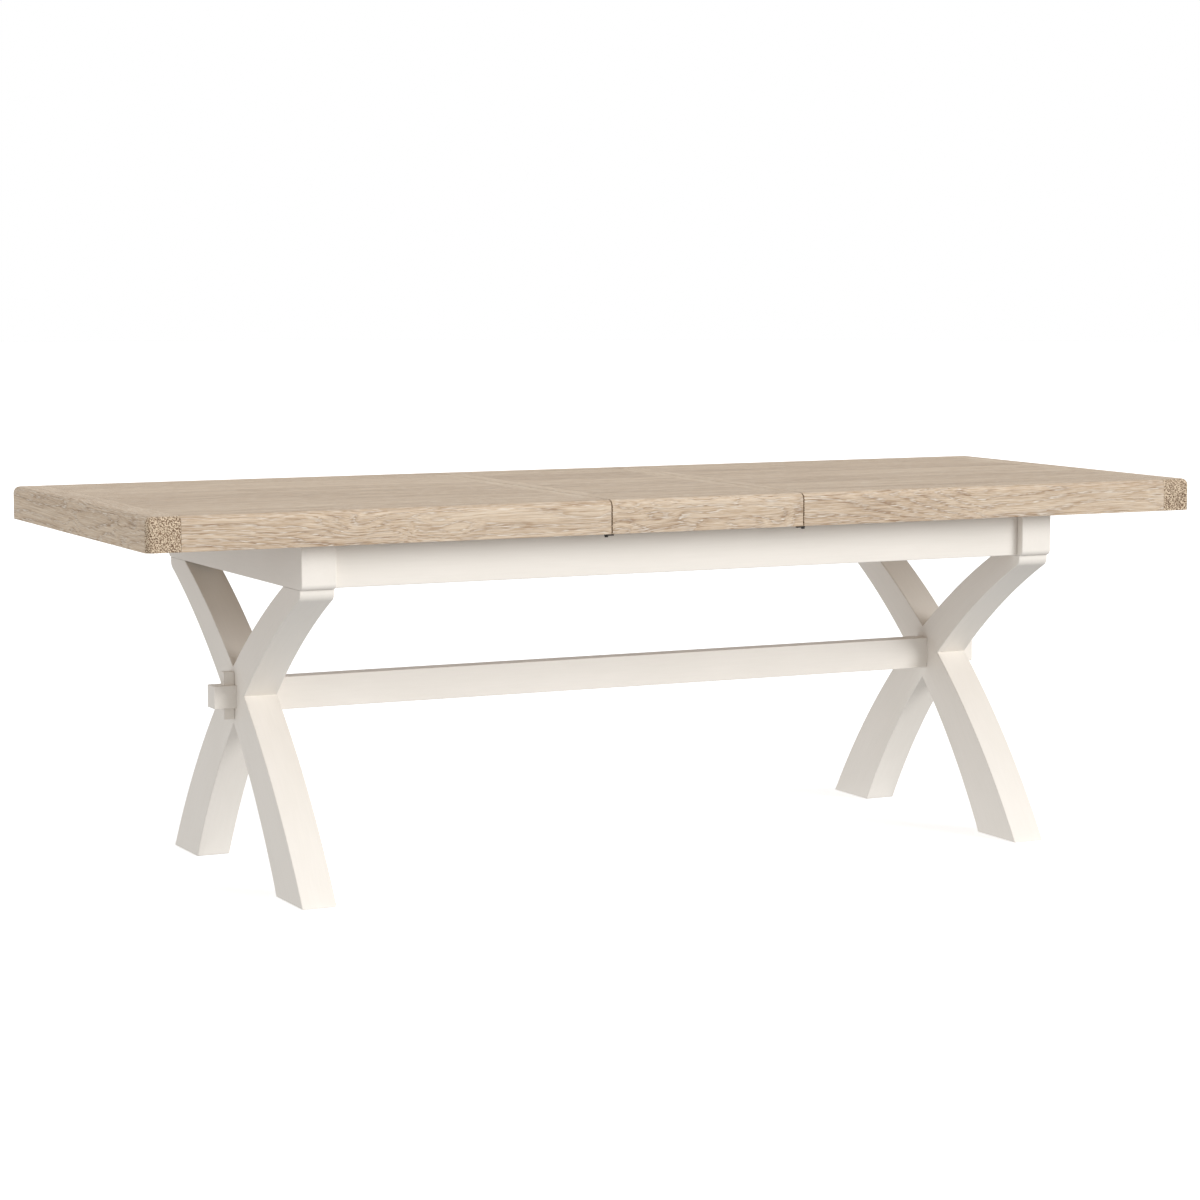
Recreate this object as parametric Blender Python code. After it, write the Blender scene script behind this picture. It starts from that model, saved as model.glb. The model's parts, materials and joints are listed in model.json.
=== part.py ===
"""Extendable trestle dining table, open with its leaf in place.

Metres, +Z up, origin on the floor under the middle of the top.
X runs along the length, Y across it (the front is -Y).
"""
import math

import bmesh
import bpy
from mathutils import Matrix, Vector

# ---- clearances -----------------------------------------------------------
GAP = 0.0003
CUT_MARGIN = 0.001

# ---- top ------------------------------------------------------------------
TABLE_HEIGHT = 0.780
TOP_LENGTH = 2.360
TOP_WIDTH = 0.900
TOP_THICKNESS = 0.068
LEAF_LENGTH = 0.436
END_BOARD_WIDTH = 0.068
EDGE_RAIL_WIDTH = 0.075
SEAM_STRIP_WIDTH = 0.040
PANEL_THICKNESS = 0.028
EDGE_ROUND = 0.014
EDGE_ROUND_STEPS = 4
SEAM_GAP = 0.0012

# ---- crossed leg frames ---------------------------------------------------
FRAME_INNER_X = 0.783
FRAME_THICKNESS = 0.072
FOOT_OUTER = 0.386
FOOT_INNER = 0.239
CROSSING_LOW = 0.317
CROSSING_HIGH = 0.4315
SHOULDER_REACH = 0.3746
SHOULDER_HEIGHT = 0.598
NECK_REACH = 0.387
NECK_ROUND = 0.018
NECK_ROUND_STEPS = 4
ARM_INNER = 0.294
LEG_ARC_STEPS = 12

# ---- bearers (frame top rails) --------------------------------------------
BEARER_BOTTOM = 0.6225
BEARER_REACH = 0.3985
BEARER_ROUND = 0.011
BEARER_ROUND_STEPS = 4

# ---- stretcher and keys ---------------------------------------------------
STRETCHER_THICKNESS = 0.042
STRETCHER_BOTTOM = 0.340
STRETCHER_TOP = 0.407
TENON_BOTTOM = 0.349
TENON_TOP = 0.3955
TENON_REACH = 0.9025
KEY_LENGTH = 0.0975
KEY_BOTTOM = 0.325
KEY_WIDTH = 0.0196
KEY_DEPTH = 0.0227

# ---- aprons, cross rails, corner blocks ------------------------------------
APRON_OUTER_Y = 0.380
APRON_THICKNESS = 0.022
APRON_BOTTOM = 0.6235
CROSS_RAIL_X = 0.300
CROSS_RAIL_THICKNESS = 0.024
CROSS_RAIL_BOTTOM = 0.642
CORNER_BLOCK_LEG = 0.060
CORNER_BLOCK_BOTTOM = 0.640
CORNER_BLOCK_TOP = 0.700

# ---- guides and runners -----------------------------------------------------
GUIDE_INNER_Y = 0.300
GUIDE_OUTER_Y = 0.330
GUIDE_TOP = 0.742
GUIDE_REACH = 0.850
GROOVE_BOTTOM = 0.722
GROOVE_TOP = 0.732
GROOVE_DEPTH = 0.010
TOP_TRAVEL = 0.025
RUNNER_WIDTH = 0.030
RUNNER_BOTTOM = 0.7145
RUNNER_START = 0.240
RUNNER_END = 1.095
TONGUE_END = 0.800
TONGUE_CLEARANCE = 0.0005

# ---- battens ----------------------------------------------------------------
BATTEN_WIDTH = 0.040
BATTEN_REACH = 0.260
BATTEN_BOTTOM = 0.722
END_BATTEN_X = 1.040
SEAM_BATTEN_INSET = 0.006

# ---- frame bolts --------------------------------------------------------------
BOLT_Y = 0.347
BOLT_RADIUS = 0.005
BOLT_HOLE_RADIUS = 0.0056
BOLT_TIP = 0.603
BOLT_HOLE_END = 0.601
BOLT_HEAD_RADIUS = 0.0085
BOLT_HEAD_BOTTOM = 0.700
BOLT_HEAD_HEIGHT = 0.0065
COUNTERBORE_RADIUS = 0.0110
BOLT_SIDES = 16

# ---- turn catches ---------------------------------------------------------------
CATCH_SEAM_OFFSET = 0.006
CATCH_Y = 0.436
CATCH_REACH = 0.012
CATCH_HALF_WIDTH = 0.0045
CATCH_THICKNESS = 0.003
CATCH_DROP = 0.0008
CATCH_HOLE_RADIUS = 0.0021
CATCH_ROUND_STEPS = 8
SCREW_RADIUS = 0.0016
SCREW_HEAD_RADIUS = 0.0036
SCREW_HEAD_HEIGHT = 0.0026
SCREW_DEPTH = 0.024
SCREW_SIDES = 16

# ---- worked out from the sizes above ----------------------------------------
TOP_UNDERSIDE = TABLE_HEIGHT - TOP_THICKNESS
PANEL_UNDERSIDE = TABLE_HEIGHT - PANEL_THICKNESS
BASE_TOP = TOP_UNDERSIDE - GAP
FRAME_OUTER_X = FRAME_INNER_X + FRAME_THICKNESS
FRAME_MID_X = FRAME_INNER_X + FRAME_THICKNESS / 2
APRON_INNER_Y = APRON_OUTER_Y - APRON_THICKNESS
RAIL_INNER_Y = TOP_WIDTH / 2 - EDGE_RAIL_WIDTH
SEAM_X = LEAF_LENGTH / 2
CATCH_X = SEAM_X + CATCH_SEAM_OFFSET
CATCH_TOP = TOP_UNDERSIDE - CATCH_DROP
CATCH_BOTTOM = CATCH_TOP - CATCH_THICKNESS


# ---- scene, materials and small helpers ----------------------------------------
def clear_scene():
    for old in list(bpy.data.objects):
        bpy.data.objects.remove(old, do_unlink=True)


def make_material(name, colour, roughness, metallic=0.0):
    material = bpy.data.materials.new(name)
    material.use_nodes = True
    shader = material.node_tree.nodes["Principled BSDF"]
    shader.inputs["Base Color"].default_value = (*colour, 1.0)
    shader.inputs["Roughness"].default_value = roughness
    shader.inputs["Metallic"].default_value = metallic
    return material


def make_empty(name, place, parent=None):
    empty = bpy.data.objects.new(name, None)
    empty.location = place
    empty.parent = parent
    bpy.context.collection.objects.link(empty)
    return empty


def make_object(name, shape, material, parent=None):
    """Turn a bmesh into a named object with one material."""
    bmesh.ops.recalc_face_normals(shape, faces=shape.faces)
    mesh = bpy.data.meshes.new(name)
    shape.to_mesh(mesh)
    shape.free()
    if material is not None:
        mesh.materials.append(material)
    piece = bpy.data.objects.new(name, mesh)
    piece.parent = parent
    bpy.context.collection.objects.link(piece)
    return piece


def box_shape(low, high):
    """A box between two corners."""
    low = Vector(low)
    high = Vector(high)
    shape = bmesh.new()
    bmesh.ops.create_cube(shape, size=1.0)
    size = high - low
    bmesh.ops.scale(shape, vec=size, verts=shape.verts)
    bmesh.ops.translate(shape, vec=(low + high) / 2, verts=shape.verts)
    return shape


def prism_shape(outline, place, sweep):
    """Extrude a closed outline. place(u, v) gives a 3-D point, sweep the extrusion."""
    shape = bmesh.new()
    ring = [shape.verts.new(place(u, v)) for u, v in outline]
    face = shape.faces.new(ring)
    swept = bmesh.ops.extrude_face_region(shape, geom=[face])
    moved = [item for item in swept["geom"] if isinstance(item, bmesh.types.BMVert)]
    bmesh.ops.translate(shape, vec=sweep, verts=moved)
    return shape


def rod_shape(centre, radius, bottom, top, sides):
    """An upright round rod."""
    shape = bmesh.new()
    height = top - bottom
    middle = Matrix.Translation((centre[0], centre[1], bottom + height / 2))
    bmesh.ops.create_cone(shape, cap_ends=True, segments=sides, radius1=radius,
                          radius2=radius, depth=height, matrix=middle)
    return shape


def as_cutter(piece):
    """Mark an object as a Boolean operand that isn't part of the table."""
    piece.hide_render = True
    piece.display_type = "WIRE"
    return piece


def boolean(piece, operand, operation="DIFFERENCE"):
    step = piece.modifiers.new(operand.name, "BOOLEAN")
    step.operation = operation
    step.solver = "EXACT"
    step.object = operand


def smooth_round_sides(piece):
    piece.data.shade_smooth()
    piece.data.set_sharp_from_angle(angle=math.radians(40))


def circle_through(first, second, third):
    """Centre and radius of the circle through three points of a plane."""
    ax, ay = first
    bx, by = second
    cx, cy = third
    twice_area = 2 * (ax * (by - cy) + bx * (cy - ay) + cx * (ay - by))
    a_square = ax * ax + ay * ay
    b_square = bx * bx + by * by
    c_square = cx * cx + cy * cy
    centre_x = (a_square * (by - cy) + b_square * (cy - ay) + c_square * (ay - by)) / twice_area
    centre_y = (a_square * (cx - bx) + b_square * (ax - cx) + c_square * (bx - ax)) / twice_area
    return centre_x, centre_y, math.hypot(ax - centre_x, ay - centre_y)


def arc_points(centre, radius, start_angle, end_angle, steps):
    points = []
    for step in range(steps + 1):
        angle = start_angle + (end_angle - start_angle) * step / steps
        points.append((centre[0] + radius * math.cos(angle), centre[1] + radius * math.sin(angle)))
    return points


# ---- crossed legs -----------------------------------------------------------------
def leg_edge_circle(foot, crossing, top, grow):
    """The circle that one long curved edge follows, moved outwards by grow."""
    centre_x, centre_y, radius = circle_through(foot, crossing, top)
    return (centre_x, centre_y), radius + grow


def angle_at_height(centre, radius, height):
    """Where the left half of a circle passes a height."""
    return math.pi - math.asin((height - centre[1]) / radius)


def leg_outline(grow=0.0):
    """Side outline of one leg: its foot on the negative side, its top on the positive side."""
    arm_top = BEARER_BOTTOM - GAP
    lower_centre, lower_radius = leg_edge_circle(
        (-FOOT_INNER, 0.0), (0.0, CROSSING_LOW), (SHOULDER_REACH, SHOULDER_HEIGHT), -grow)
    upper_centre, upper_radius = leg_edge_circle(
        (-FOOT_OUTER, 0.0), (0.0, CROSSING_HIGH), (ARM_INNER, arm_top), grow)
    # The lower edge runs without a break into the round under the upright neck.
    round_x = NECK_REACH - NECK_ROUND
    reach = lower_radius + NECK_ROUND
    round_y = lower_centre[1] + math.sqrt(reach ** 2 - (round_x - lower_centre[0]) ** 2)
    shoulder = math.atan2(round_y - lower_centre[1], round_x - lower_centre[0])
    lower = arc_points(lower_centre, lower_radius,
                       angle_at_height(lower_centre, lower_radius, 0.0), shoulder, LEG_ARC_STEPS)
    neck = arc_points((round_x, round_y), NECK_ROUND, shoulder - math.pi, 0.0, NECK_ROUND_STEPS)
    upper = arc_points(upper_centre, upper_radius,
                       angle_at_height(upper_centre, upper_radius, arm_top),
                       angle_at_height(upper_centre, upper_radius, 0.0), LEG_ARC_STEPS)
    return lower + neck[1:] + [(NECK_REACH, arm_top)] + upper


def leg_prism(side, lean, inner_x, outer_x, grow=0.0):
    """side is -1 left or +1 right; lean is the Y direction in which the leg's top lies."""
    return prism_shape(leg_outline(grow),
                       lambda along, height: (side * inner_x, lean * along, height),
                       (side * (outer_x - inner_x), 0.0, 0.0))


def make_leg(name, side, lean, keeps_inner_half, mortise, material):
    """One sabre leg, halved where it crosses its partner and mortised for the tenon."""
    leg = make_object(name, leg_prism(side, lean, FRAME_INNER_X, FRAME_OUTER_X), material)
    if keeps_inner_half:
        lap_inner = FRAME_MID_X - GAP / 2
        lap_outer = FRAME_OUTER_X + CUT_MARGIN
    else:
        lap_inner = FRAME_INNER_X - CUT_MARGIN
        lap_outer = FRAME_MID_X + GAP / 2
    lap = make_object(name + "_lap", leg_prism(side, -lean, lap_inner, lap_outer, GAP), None)
    boolean(leg, as_cutter(lap))
    boolean(leg, mortise)
    bolt_hole = rod_shape((side * FRAME_MID_X, lean * BOLT_Y), BOLT_HOLE_RADIUS,
                          BOLT_HOLE_END, BEARER_BOTTOM + CUT_MARGIN, BOLT_SIDES)
    boolean(leg, as_cutter(make_object(name + "_bolt_hole", bolt_hole, None)))
    return leg


def make_bearer(name, side, material):
    """The rail on top of an X frame, with its two lower end corners rounded."""
    low_z = BEARER_BOTTOM + BEARER_ROUND
    reach = BEARER_REACH - BEARER_ROUND
    front = arc_points((-reach, low_z), BEARER_ROUND, math.pi, 1.5 * math.pi, BEARER_ROUND_STEPS)
    back = arc_points((reach, low_z), BEARER_ROUND, -0.5 * math.pi, 0.0, BEARER_ROUND_STEPS)
    outline = front + back + [(BEARER_REACH, BASE_TOP), (-BEARER_REACH, BASE_TOP)]
    shape = prism_shape(outline, lambda along, height: (side * FRAME_INNER_X, along, height),
                        (side * FRAME_THICKNESS, 0.0, 0.0))
    bearer = make_object(name, shape, material)
    for lean in (-1, 1):
        place = (side * FRAME_MID_X, lean * BOLT_Y)
        hole = rod_shape(place, BOLT_HOLE_RADIUS, BEARER_BOTTOM - CUT_MARGIN,
                         BASE_TOP, BOLT_SIDES)
        sink = rod_shape(place, COUNTERBORE_RADIUS, BOLT_HEAD_BOTTOM - GAP,
                         BASE_TOP + CUT_MARGIN, BOLT_SIDES)
        suffix = "_front" if lean < 0 else "_back"
        boolean(bearer, as_cutter(make_object(name + "_hole" + suffix, hole, None)))
        boolean(bearer, as_cutter(make_object(name + "_sink" + suffix, sink, None)))
    return bearer


def make_frame_bolt(name, side, lean, material):
    """A bolt from the bearer down into the arm: a hexagon head on a round shank."""
    place = (side * FRAME_MID_X, lean * BOLT_Y)
    bolt = make_object(name, rod_shape(place, BOLT_RADIUS, BOLT_TIP,
                                       BOLT_HEAD_BOTTOM + BOLT_HEAD_HEIGHT / 2, BOLT_SIDES), material)
    head = rod_shape(place, BOLT_HEAD_RADIUS, BOLT_HEAD_BOTTOM,
                     BOLT_HEAD_BOTTOM + BOLT_HEAD_HEIGHT, 6)
    boolean(bolt, as_cutter(make_object(name + "_head", head, None)), "UNION")
    smooth_round_sides(bolt)
    return bolt


def make_frames(paint, steel):
    for side, side_name in ((-1, "left"), (1, "right")):
        mortise_half = STRETCHER_THICKNESS / 2 + GAP
        low = (side * FRAME_MID_X - FRAME_THICKNESS, -mortise_half, TENON_BOTTOM - GAP)
        high = (side * FRAME_MID_X + FRAME_THICKNESS, mortise_half, TENON_TOP + GAP)
        mortise = as_cutter(make_object(side_name + "_mortise", box_shape(low, high), None))
        make_leg(side_name + "_leg_rising_front", side, -1, True, mortise, paint)
        make_leg(side_name + "_leg_rising_back", side, 1, False, mortise, paint)
        make_bearer(side_name + "_bearer", side, paint)
        make_frame_bolt(side_name + "_front_bolt", side, -1, steel)
        make_frame_bolt(side_name + "_back_bolt", side, 1, steel)


# ---- stretcher, keys, aprons and rails ----------------------------------------------
def make_stretcher(material):
    """One board whose ends step down to through tenons, with a slot for each key."""
    shoulder = FRAME_INNER_X - GAP
    right = [(shoulder, STRETCHER_BOTTOM), (shoulder, TENON_BOTTOM), (TENON_REACH, TENON_BOTTOM),
             (TENON_REACH, TENON_TOP), (shoulder, TENON_TOP), (shoulder, STRETCHER_TOP)]
    left = [(-along, height) for along, height in reversed(right)]
    half = STRETCHER_THICKNESS / 2
    shape = prism_shape(right + left, lambda along, height: (along, -half, height),
                        (0.0, STRETCHER_THICKNESS, 0.0))
    stretcher = make_object("stretcher", shape, material)
    key_start = FRAME_OUTER_X + GAP
    slot_half = KEY_WIDTH / 2 + GAP
    for side, side_name in ((-1, "left"), (1, "right")):
        ends = sorted((side * (key_start - GAP), side * (key_start + KEY_DEPTH + GAP)))
        slot = box_shape((ends[0], -slot_half, TENON_BOTTOM - CUT_MARGIN),
                         (ends[1], slot_half, TENON_TOP + CUT_MARGIN))
        boolean(stretcher, as_cutter(make_object(side_name + "_key_slot", slot, None)))
        ends = sorted((side * key_start, side * (key_start + KEY_DEPTH)))
        key = box_shape((ends[0], -KEY_WIDTH / 2, KEY_BOTTOM),
                        (ends[1], KEY_WIDTH / 2, KEY_BOTTOM + KEY_LENGTH))
        make_object(side_name + "_key", key, material)
    return stretcher


def make_rails(paint, bare_wood):
    for lean, lean_name in ((-1, "front"), (1, "back")):
        sides = sorted((lean * APRON_INNER_Y, lean * APRON_OUTER_Y))
        reach = FRAME_INNER_X - GAP
        apron = box_shape((-reach, sides[0], APRON_BOTTOM), (reach, sides[1], BASE_TOP))
        make_object(lean_name + "_apron", apron, paint)
    for side, side_name in ((-1, "left"), (1, "right")):
        middle = side * CROSS_RAIL_X
        reach = APRON_INNER_Y - GAP
        rail = box_shape((middle - CROSS_RAIL_THICKNESS / 2, -reach, CROSS_RAIL_BOTTOM),
                         (middle + CROSS_RAIL_THICKNESS / 2, reach, BASE_TOP))
        make_object(side_name + "_cross_rail", rail, bare_wood)


def make_corner_blocks(material):
    """Three-cornered blocks glued into the angles between aprons and bearers."""
    for side, side_name in ((-1, "left"), (1, "right")):
        for lean, lean_name in ((-1, "front"), (1, "back")):
            corner_x = side * (FRAME_INNER_X - GAP)
            corner_y = lean * (APRON_INNER_Y - GAP)
            outline = [(corner_x, corner_y), (corner_x - side * CORNER_BLOCK_LEG, corner_y),
                       (corner_x, corner_y - lean * CORNER_BLOCK_LEG)]
            height = CORNER_BLOCK_TOP - CORNER_BLOCK_BOTTOM
            block = prism_shape(outline, lambda x, y: (x, y, CORNER_BLOCK_BOTTOM), (0.0, 0.0, height))
            make_object(side_name + "_" + lean_name + "_corner_block", block, material)


def make_guides(material):
    """Fixed rails on the bearers; a groove that ends blind stops the runners."""
    groove_reach = TONGUE_END + TOP_TRAVEL + TONGUE_CLEARANCE
    for lean, lean_name in ((-1, "front"), (1, "back")):
        sides = sorted((lean * GUIDE_INNER_Y, lean * GUIDE_OUTER_Y))
        body = box_shape((-GUIDE_REACH, sides[0], TOP_UNDERSIDE), (GUIDE_REACH, sides[1], GUIDE_TOP))
        guide = make_object(lean_name + "_guide", body, material)
        sides = sorted((lean * (GUIDE_INNER_Y - CUT_MARGIN), lean * (GUIDE_INNER_Y + GROOVE_DEPTH)))
        groove = box_shape((-groove_reach, sides[0], GROOVE_BOTTOM), (groove_reach, sides[1], GROOVE_TOP))
        boolean(guide, as_cutter(make_object(lean_name + "_groove", groove, None)))


# ---- table top --------------------------------------------------------------------------
def round_edges(shape, chosen):
    """Round the edges of a bmesh for which chosen(edge) is true."""
    edges = [edge for edge in shape.edges if chosen(edge)]
    bmesh.ops.bevel(shape, geom=edges, offset=EDGE_ROUND, offset_type="OFFSET",
                    segments=EDGE_ROUND_STEPS, profile=0.5, affect="EDGES", clamp_overlap=False)


def edge_lies_at(edge, axis, value):
    return all(abs(vert.co[axis] - value) < GAP / 2 for vert in edge.verts)


def make_end_board(name, side, material, parent):
    """Full-width board across the end, rounded on its three outer sides."""
    outer_x = TOP_LENGTH / 2
    inner_x = outer_x - END_BOARD_WIDTH
    ends = sorted((side * inner_x, side * outer_x))
    half_width = TOP_WIDTH / 2
    shape = box_shape((ends[0], -half_width, TOP_UNDERSIDE), (ends[1], half_width, TABLE_HEIGHT))

    def is_outer_edge(edge):
        on_end = edge_lies_at(edge, 0, side * outer_x)
        on_side = edge_lies_at(edge, 1, -half_width) or edge_lies_at(edge, 1, half_width)
        on_top = edge_lies_at(edge, 2, TABLE_HEIGHT)
        return (on_top and (on_end or on_side)) or (on_end and on_side)

    round_edges(shape, is_outer_edge)
    return make_object(name, shape, material, parent)


def make_edge_rail(name, start_x, end_x, lean, material, parent, catch_screw_x=None):
    """Thick long-grain rail along the front or back edge, rounded at its top."""
    ends = sorted((start_x, end_x))
    outer_y = lean * TOP_WIDTH / 2
    sides = sorted((outer_y, lean * (RAIL_INNER_Y + GAP)))
    shape = box_shape((ends[0], sides[0], TOP_UNDERSIDE), (ends[1], sides[1], TABLE_HEIGHT))
    round_edges(shape, lambda edge: edge_lies_at(edge, 1, outer_y) and edge_lies_at(edge, 2, TABLE_HEIGHT))
    rail = make_object(name, shape, material, parent)
    if catch_screw_x is not None:
        hole = rod_shape((catch_screw_x, lean * CATCH_Y), CATCH_HOLE_RADIUS,
                         TOP_UNDERSIDE - CUT_MARGIN, TOP_UNDERSIDE + SCREW_DEPTH + CUT_MARGIN,
                         SCREW_SIDES)
        boolean(rail, as_cutter(make_object(name + "_screw_hole", hole, None)))
    return rail


def make_top_panel(name, start_x, end_x, material, parent):
    """Thin field board or cross strip between the edge rails."""
    ends = sorted((start_x, end_x))
    reach = RAIL_INNER_Y
    shape = box_shape((ends[0], -reach, PANEL_UNDERSIDE), (ends[1], reach, TABLE_HEIGHT))
    return make_object(name, shape, material, parent)


def make_runner(name, side, lean, material, parent):
    """Slide bar under the panel with a tongue in the guide's groove."""
    outer_y = GUIDE_INNER_Y - TONGUE_CLEARANCE
    ends = sorted((side * RUNNER_START, side * RUNNER_END))
    sides = sorted((lean * (outer_y - RUNNER_WIDTH), lean * outer_y))
    body = box_shape((ends[0], sides[0], RUNNER_BOTTOM), (ends[1], sides[1], PANEL_UNDERSIDE - GAP))
    runner = make_object(name, body, material, parent)
    ends = sorted((side * RUNNER_START, side * TONGUE_END))
    sides = sorted((lean * (outer_y - RUNNER_WIDTH / 2),
                    lean * (GUIDE_INNER_Y + GROOVE_DEPTH - TONGUE_CLEARANCE)))
    tongue = box_shape((ends[0], sides[0], GROOVE_BOTTOM + TONGUE_CLEARANCE),
                       (ends[1], sides[1], GROOVE_TOP - TONGUE_CLEARANCE))
    boolean(runner, as_cutter(make_object(name + "_tongue", tongue, None, parent)), "UNION")
    return runner


def make_batten(name, near_x, far_x, material, parent):
    ends = sorted((near_x, far_x))
    shape = box_shape((ends[0], -BATTEN_REACH, BATTEN_BOTTOM),
                      (ends[1], BATTEN_REACH, PANEL_UNDERSIDE - GAP))
    return make_object(name, shape, material, parent)


def make_catch_screw(name, side, lean, material, parent):
    """Round-headed screw that the turn catch pivots on."""
    place = (side * CATCH_X, lean * CATCH_Y)
    head_top = CATCH_BOTTOM - GAP
    head_bottom = head_top - SCREW_HEAD_HEIGHT
    shank = rod_shape(place, SCREW_RADIUS, head_top - SCREW_HEAD_HEIGHT / 2,
                      TOP_UNDERSIDE + SCREW_DEPTH, SCREW_SIDES)
    screw = make_object(name, shank, material, parent)
    head = rod_shape(place, SCREW_HEAD_RADIUS, head_bottom, head_top, SCREW_SIDES)
    boolean(screw, as_cutter(make_object(name + "_head", head, None, parent)), "UNION")
    smooth_round_sides(screw)
    return screw


def make_catch(name, side, lean, material, pivot):
    """Flat turn button that points from its screw across the seam."""
    tip = arc_points((-side * CATCH_REACH, 0.0), CATCH_HALF_WIDTH, 0.5 * math.pi, 1.5 * math.pi,
                     CATCH_ROUND_STEPS)
    tail = arc_points((0.0, 0.0), CATCH_HALF_WIDTH, -0.5 * math.pi, 0.5 * math.pi, CATCH_ROUND_STEPS)
    if side < 0:
        tip = [(-2 * side * CATCH_REACH - x, y) for x, y in tip]
        tail = [(-x, y) for x, y in tail]
    outline = tip + tail
    shape = prism_shape(outline, lambda x, y: (x, y, CATCH_BOTTOM), (0.0, 0.0, CATCH_THICKNESS))
    catch = make_object(name, shape, material, pivot)
    hole = rod_shape((0.0, 0.0), CATCH_HOLE_RADIUS, CATCH_BOTTOM - CUT_MARGIN,
                     CATCH_TOP + CUT_MARGIN, SCREW_SIDES)
    boolean(catch, as_cutter(make_object(name + "_hole", hole, None, pivot)))
    smooth_round_sides(catch)
    return catch


def make_half_top(side, side_name, oak, bare_wood, steel):
    """One sliding half of the top and everything screwed under it."""
    slide = make_empty(side_name + "_top", (0.0, 0.0, 0.0))
    seam = side * (SEAM_X + SEAM_GAP / 2)
    board_x = side * (TOP_LENGTH / 2 - END_BOARD_WIDTH - GAP)
    strip_end = seam + side * SEAM_STRIP_WIDTH
    make_end_board(side_name + "_end_board", side, oak, slide)
    make_top_panel(side_name + "_seam_strip", seam, strip_end, oak, slide)
    make_top_panel(side_name + "_panel", strip_end + side * GAP, board_x, oak, slide)
    seam_batten = seam + side * SEAM_BATTEN_INSET
    make_batten(side_name + "_seam_batten", seam_batten, seam_batten + side * BATTEN_WIDTH,
                bare_wood, slide)
    end_batten = side * END_BATTEN_X
    make_batten(side_name + "_end_batten", end_batten, end_batten + side * BATTEN_WIDTH,
                bare_wood, slide)
    for lean, lean_name in ((-1, "front"), (1, "back")):
        prefix = side_name + "_" + lean_name
        make_edge_rail(prefix + "_edge_rail", seam, board_x, lean, oak, slide, side * CATCH_X)
        make_runner(prefix + "_runner", side, lean, bare_wood, slide)
        make_catch_screw(prefix + "_catch_screw", side, lean, steel, slide)
        pivot = make_empty(prefix + "_catch_pivot", (side * CATCH_X, lean * CATCH_Y, 0.0), slide)
        make_catch(prefix + "_catch", side, lean, steel, pivot)


def make_leaf(oak, bare_wood):
    """The loose middle section; its battens rest on the guide rails."""
    lift = make_empty("leaf", (0.0, 0.0, 0.0))
    edge = SEAM_X - SEAM_GAP / 2
    strip_end = edge - SEAM_STRIP_WIDTH
    make_top_panel("leaf_panel", -strip_end + GAP, strip_end - GAP, oak, lift)
    for side, side_name in ((-1, "left"), (1, "right")):
        make_top_panel("leaf_" + side_name + "_strip", side * edge, side * strip_end, oak, lift)
    for lean, lean_name in ((-1, "front"), (1, "back")):
        make_edge_rail("leaf_" + lean_name + "_edge_rail", -edge, edge, lean, oak, lift)
        sides = sorted((lean * GUIDE_INNER_Y, lean * GUIDE_OUTER_Y))
        batten = box_shape((-edge, sides[0], GUIDE_TOP + GAP), (edge, sides[1], PANEL_UNDERSIDE - GAP))
        make_object("leaf_" + lean_name + "_batten", batten, bare_wood, lift)


def main():
    clear_scene()
    oak = make_material("limed_oak", (0.56, 0.46, 0.35), 0.50)
    paint = make_material("ivory_paint", (0.85, 0.81, 0.74), 0.42)
    bare_wood = make_material("bare_hardwood", (0.60, 0.47, 0.32), 0.60)
    steel = make_material("dark_steel", (0.10, 0.10, 0.10), 0.40, 0.9)
    make_frames(paint, steel)
    make_stretcher(paint)
    make_rails(paint, bare_wood)
    make_corner_blocks(bare_wood)
    make_guides(bare_wood)
    make_half_top(-1, "left", oak, bare_wood, steel)
    make_half_top(1, "right", oak, bare_wood, steel)
    make_leaf(oak, bare_wood)


main()
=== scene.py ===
"""Looks of the extendable trestle dining table: limed oak on an ivory painted base.

Metres, +Z up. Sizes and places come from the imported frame. Only the leg curves, two rounds and
the gaps repeat the CAD's driving sizes, because a box doesn't hold them.
"""

import json
import math
import random

import bmesh
import bpy
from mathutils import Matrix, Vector


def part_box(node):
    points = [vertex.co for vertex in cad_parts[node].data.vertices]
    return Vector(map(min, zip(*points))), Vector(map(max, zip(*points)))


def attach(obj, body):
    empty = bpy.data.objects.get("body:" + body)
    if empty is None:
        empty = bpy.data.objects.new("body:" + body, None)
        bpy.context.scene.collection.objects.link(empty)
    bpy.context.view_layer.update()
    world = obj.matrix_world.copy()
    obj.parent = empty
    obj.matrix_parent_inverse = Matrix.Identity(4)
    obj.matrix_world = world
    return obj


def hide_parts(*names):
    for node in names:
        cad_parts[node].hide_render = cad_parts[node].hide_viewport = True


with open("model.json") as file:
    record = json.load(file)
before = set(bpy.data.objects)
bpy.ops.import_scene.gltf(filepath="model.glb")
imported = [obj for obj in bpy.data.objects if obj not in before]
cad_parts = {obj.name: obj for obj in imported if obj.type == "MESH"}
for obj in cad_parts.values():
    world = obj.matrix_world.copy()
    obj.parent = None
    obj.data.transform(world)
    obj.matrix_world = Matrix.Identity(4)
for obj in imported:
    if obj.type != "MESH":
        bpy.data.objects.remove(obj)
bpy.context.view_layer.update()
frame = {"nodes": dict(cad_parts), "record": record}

NODE_BODY = {node: body for body, nodes in frame["record"]["behaviour"]["bodies"].items()
             for node in nodes}
NODE_SLOT = {row["node"]: row["material_slot"] for row in frame["record"]["subparts"]}
SLOT_SUFFIX = {"limed_oak": "_oak", "ivory_paint": "_painted", "bare_hardwood": "_wood",
               "dark_steel": "_steel"}

# ---- camera: angles in degrees, lens and sensor in millimetres ---------------------
CAMERA_PLACE = (-3.0258, -6.1486, 1.2648)
CAMERA_YAW = 26.013
CAMERA_DIP = 6.145
CAMERA_LENS = 96.48
SENSOR_WIDTH = 36.0
CAMERA_REACH = 200.0

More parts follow.
